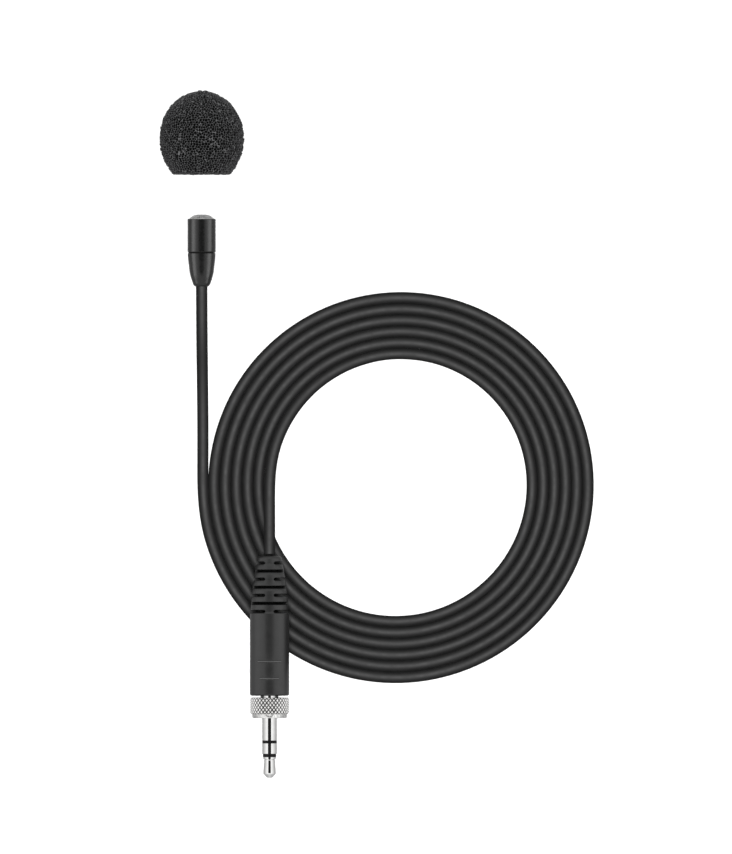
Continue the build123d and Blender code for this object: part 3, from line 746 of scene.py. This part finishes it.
# ---------------------------------------------------------------- plug body and boot
BARREL_R = 4.69
BARREL_LENGTH = 19.7
BARREL_EDGE = 0.45             # radius of the rounding at the nut's end
BODY_SEGMENTS = 240
BOOT_OUTLINE = [(4.57, 19.82), (4.15, 25.25), (3.62, 28.9), (2.95, 32.9)]
BOOT_END = ((2.9, 32.98), (2.62, 33.35), (2.45, PLUG_BODY_LENGTH), (1.62, PLUG_BODY_LENGTH))
BOOT_CORE_R = 1.95             # the slots go no deeper than this
SLOT = 0.72                    # width where a slot is deepest
SLOT_STEP = 1.93
SLOT_FIRST = 20.2
SLOTS = 7
SLOT_EDGE = 0.07               # bevel along a slot's edges
RIB_HALF = 1.0                 # half the rib between two facing slots
BARS = ((4.12, 2.3), (8.2, 2.8))    # two fine raised bars: place and half length
CONTACT_HOLE_R = 1.57
HOLLOW_R = 3.62                # round the terminal shell
HOLLOW_START, HOLLOW_END = 1.0, 18.0
CORD_HOLE_R = 1.32
THROAT_R = 1.36                # just clear of the drawn cord, at the boot's mouth
THROAT_DEPTH = 32.45
COLLAR_R = 1.46


def boot_radius(along):
    """The boot's outline: a smooth line through its listed points."""
    place = [p[1] for p in BOOT_OUTLINE]
    radius = [p[0] for p in BOOT_OUTLINE]
    fit = np.polyfit(place, radius, 3)
    return float(np.polyval(fit, along))


def raised_bar(lathe, along, half):
    """A fine bar on the barrel's upper side, with a painted highlight along its top between two dark
    lines of painted shade.
    """
    across = np.abs(BARREL_R * np.cos(lathe.angles))
    upper = smooth_step(half + 0.05, half - 0.05, across) * (np.sin(lathe.angles) > 0)
    # Shades: 0.8 for the painted shade beside the bar, -4 for the painted highlight on its top.
    for shift, rise, shade in ((-0.28, 0.0, 0.0), (-0.2, -0.03, 0.8), (-0.1, 0.06, -4.0),
                               (0.1, 0.06, -4.0), (0.2, -0.03, 0.8), (0.28, 0.0, 0.0)):
        lathe.ring(BARREL_R + rise * upper, along + shift, shade * upper)


def boot_slot(lathe, index):
    """A pair of facing slots, a quarter turn on from the pair before, with painted shade on their walls
    and floors, stronger where the slot is deeper.
    """
    centre = SLOT_FIRST + index * SLOT_STEP
    outer = boot_radius(centre)
    across = np.abs(np.cos(lathe.angles) if index % 2 == 0 else np.sin(lathe.angles))
    floor = np.minimum(outer, np.maximum(BOOT_CORE_R, RIB_HALF / np.maximum(across, 1e-6)))
    depth = outer - floor
    half = SLOT / 2 * (0.25 + 0.75 * smooth_step(0.0, 1.1, depth))
    lip = np.minimum(SLOT_EDGE, depth * 0.5 + 0.004)
    # Painted shade in the slot: none on the outer edge, some on the bevel, full on the walls and floor,
    # scaled by the slot's depth.
    dark = smooth_step(0.0, 0.5, depth)
    wall = [(outer, half + lip, 0.0), (outer - lip, half, 0.35),
            (floor + np.minimum(0.12, depth * 0.3), half - 0.02, 1.0),
            (floor, np.maximum(half - 0.14, 0.02), 1.0)]
    for way in (-1, 1):
        for radius, reach, shade in wall[::-way]:
            lathe.ring(radius, centre + way * reach, shade * dark)


def plug_body():
    """Barrel and slotted boot in one moulding, hollow where the contacts and cord run."""
    lathe = Lathe(BODY_SEGMENTS)
    lathe.ring(CONTACT_HOLE_R, 0.0)
    lathe.ring(BARREL_R - 0.5, 0.0)
    for t in np.linspace(0, math.pi / 2, 7):
        lathe.ring(BARREL_R - BARREL_EDGE * (1 - math.sin(t)), BARREL_EDGE * (1 - math.cos(t)))
    for along in (1.6, 2.9):
        lathe.ring(BARREL_R, along)
    raised_bar(lathe, *BARS[0])
    lathe.ring(BARREL_R, 6.2)
    raised_bar(lathe, *BARS[1])
    for along in (11.5, 14.3, 17.1, 19.0, BARREL_LENGTH - 0.05):
        lathe.ring(BARREL_R, along)
    lathe.ring(BARREL_R - 0.05, BARREL_LENGTH + 0.02)
    for index in range(SLOTS):
        boot_slot(lathe, index)
        if index < SLOTS - 1:
            middle = SLOT_FIRST + index * SLOT_STEP + SLOT_STEP / 2
            lathe.ring(boot_radius(middle), middle)
    for along in (32.5, 32.8):
        lathe.ring(boot_radius(along), along)
    for radius, along in BOOT_END:
        lathe.ring(radius, along)
    # A collar round the cord, black with painted shadow where the cord goes into the boot, then back
    # through the hollow to where the contacts come out.
    for radius, past in ((COLLAR_R, 0.1), (COLLAR_R, 0.5), (THROAT_R, 0.55)):
        lathe.ring(radius, PLUG_BODY_LENGTH + past, 1.0)
    for radius, along in ((THROAT_R, THROAT_DEPTH), (CORD_HOLE_R, THROAT_DEPTH),
                          (CORD_HOLE_R, HOLLOW_END), (HOLLOW_R, HOLLOW_END),
                          (HOLLOW_R, HOLLOW_START), (CONTACT_HOLE_R, HOLLOW_START)):
        lathe.ring(radius, along)
    return finish_piece(lathe.piece("plug_body", PLUG, 35), "overmould", "microphone",
                        "plug_overmould")


body = plug_body()

# ---------------------------------------------------------------- studio
FLOOR_HALF = 12000.0
floor_mesh = bpy.data.meshes.new("floor")
floor_mesh.from_pydata([(x * FLOOR_HALF * MM, y * FLOOR_HALF * MM, 0)
                        for x, y in ((-1, -1), (1, -1), (1, 1), (-1, 1))], [], [(0, 1, 2, 3)])
floor = bpy.data.objects.new("floor", floor_mesh)
scene.collection.objects.link(floor)
floor_material, _, _ = surface("floor", Base_Color=(0.86, 0.86, 0.86, 1), Roughness=0.9,
                               Specular_IOR_Level=0.0)
floor_mesh.materials.append(floor_material)
floor.visible_glossy = False
floor.visible_diffuse = False


def studio_light(name, place, aim, sides, watts, lit=(), shape="SQUARE"):
    """A flat light aimed at a point; with lit, it falls on those objects only."""
    place, aim = Vector(place) * MM, Vector(aim) * MM
    data = bpy.data.lights.new(name, "AREA")
    data.energy = watts
    data.shape = shape
    data.size = sides[0] * MM
    data.size_y = sides[-1] * MM
    light = bpy.data.objects.new(name, data)
    light.location = place
    light.rotation_euler = (aim - place).to_track_quat("-Z", "Y").to_euler()
    light.visible_camera = False
    light.visible_diffuse = not lit
    scene.collection.objects.link(light)
    if lit:
        light.light_linking.receiver_collection = bpy.data.collections.new(name + "_lit")
        for obj in lit:
            light.light_linking.receiver_collection.objects.link(obj)
    return light


# A lamp high overhead gives the even light, with hardly any shadow beside the object.
overhead = studio_light("overhead", (VIEW_X, VIEW_Y, EYE_HEIGHT), (VIEW_X, VIEW_Y, 0), (250,), 293,
                        shape="DISK")
overhead.visible_glossy = False

# A softbox over the coil draws the line of light along the cord's upper side.
SOFTBOX_X, SOFTBOX_Y, SOFTBOX_Z = 47.0, -70.0, 1000.0
cord_parts = [cord, *(frame["nodes"][name] for name in ("cord_head_end", "cord_plug_end"))]
studio_light("cord_softbox", (SOFTBOX_X, SOFTBOX_Y, SOFTBOX_Z), (SOFTBOX_X, SOFTBOX_Y, 0), (350,), 330,
             cord_parts)

# Two strips down each side, one above the other, draw the pairs of bands along the head and the plug.
head_parts = [frame["nodes"][name] for name in ("head_barrel", "tail_cone")]
STRIP_REACH = 500.0            # from the line that all strips are aimed at
STRIP_LENGTH = 500.0
STRIP_Y = -60.0
STRIP_AIM_Z = 8.0
STRIPS = (("head_strip", 17, 240, 1.2, head_parts), ("head_strip", 35, 120, 0.27, head_parts),
          ("plug_strip", 12, 400, 0.44, [body]), ("plug_strip", 46, 340, 0.16, [body]))
for side in (-1, 1):
    for name, elevation, tall, watts, lit in STRIPS:
        rise = math.radians(elevation)
        place = (side * STRIP_REACH * math.cos(rise), STRIP_Y, STRIP_REACH * math.sin(rise))
        studio_light(name, place, (0, STRIP_Y, STRIP_AIM_Z), (STRIP_LENGTH, tall), watts, lit,
                     shape="RECTANGLE")

# A soft lamp over the nut alone fills in the tent's dark opening.
NUT_LAMP_X, NUT_LAMP_Y, NUT_LAMP_Z = 16.3, -125.0, 600.0
studio_light("nut_softbox", (NUT_LAMP_X, NUT_LAMP_Y, NUT_LAMP_Z), (NUT_LAMP_X, NUT_LAMP_Y, 0), (300,),
             0.36, [nut])

# Gloss mirrors a white tent with a dark opening overhead, where the camera looks in.
OPENING_HALF = math.radians(25.5)
OPENING_LEVEL = 0.02           # how bright the opening is, next to the tent round it
TENT_STOPS = (
    (0.0, 0.36), (0.46, 0.46), (0.5, 0.58), (0.63, 0.68), (0.75, 0.82), (0.85, 0.88), (0.93, 0.98))
TENT_STRENGTH = 1.3
AMBIENT = 0.17                 # what matt surfaces get from all round, so that shadows stay soft
world = bpy.data.worlds.new("studio")
scene.world = world
world.use_nodes = True
sky = Graph(world.node_tree)
background = world.node_tree.nodes["Background"]
direction = sky.node("ShaderNodeTexCoord").outputs["Generated"]
height = sky.node("ShaderNodeSeparateXYZ", {"Vector": direction}).outputs["Z"]
level = sky.math("MULTIPLY", sky.math("ADD", height, 1.0), 0.5)
closed = sky.math("LESS_THAN", height, math.cos(OPENING_HALF))
tent = sky.math("MULTIPLY", sky.ramp(level, *TENT_STOPS), sky.math("MAXIMUM", closed, OPENING_LEVEL))
rays = sky.node("ShaderNodeLightPath").outputs
not_matt = sky.math("SUBTRACT", TENT_STRENGTH,
                    sky.math("MULTIPLY", rays["Is Diffuse Ray"], TENT_STRENGTH))
mirrored = sky.math("MULTIPLY", tent, not_matt)
matt = sky.math("MULTIPLY", rays["Is Diffuse Ray"], AMBIENT)
seen = sky.math("MAXIMUM", sky.math("ADD", mirrored, matt), rays["Is Camera Ray"])
world.node_tree.links.new(seen, background.inputs["Color"])
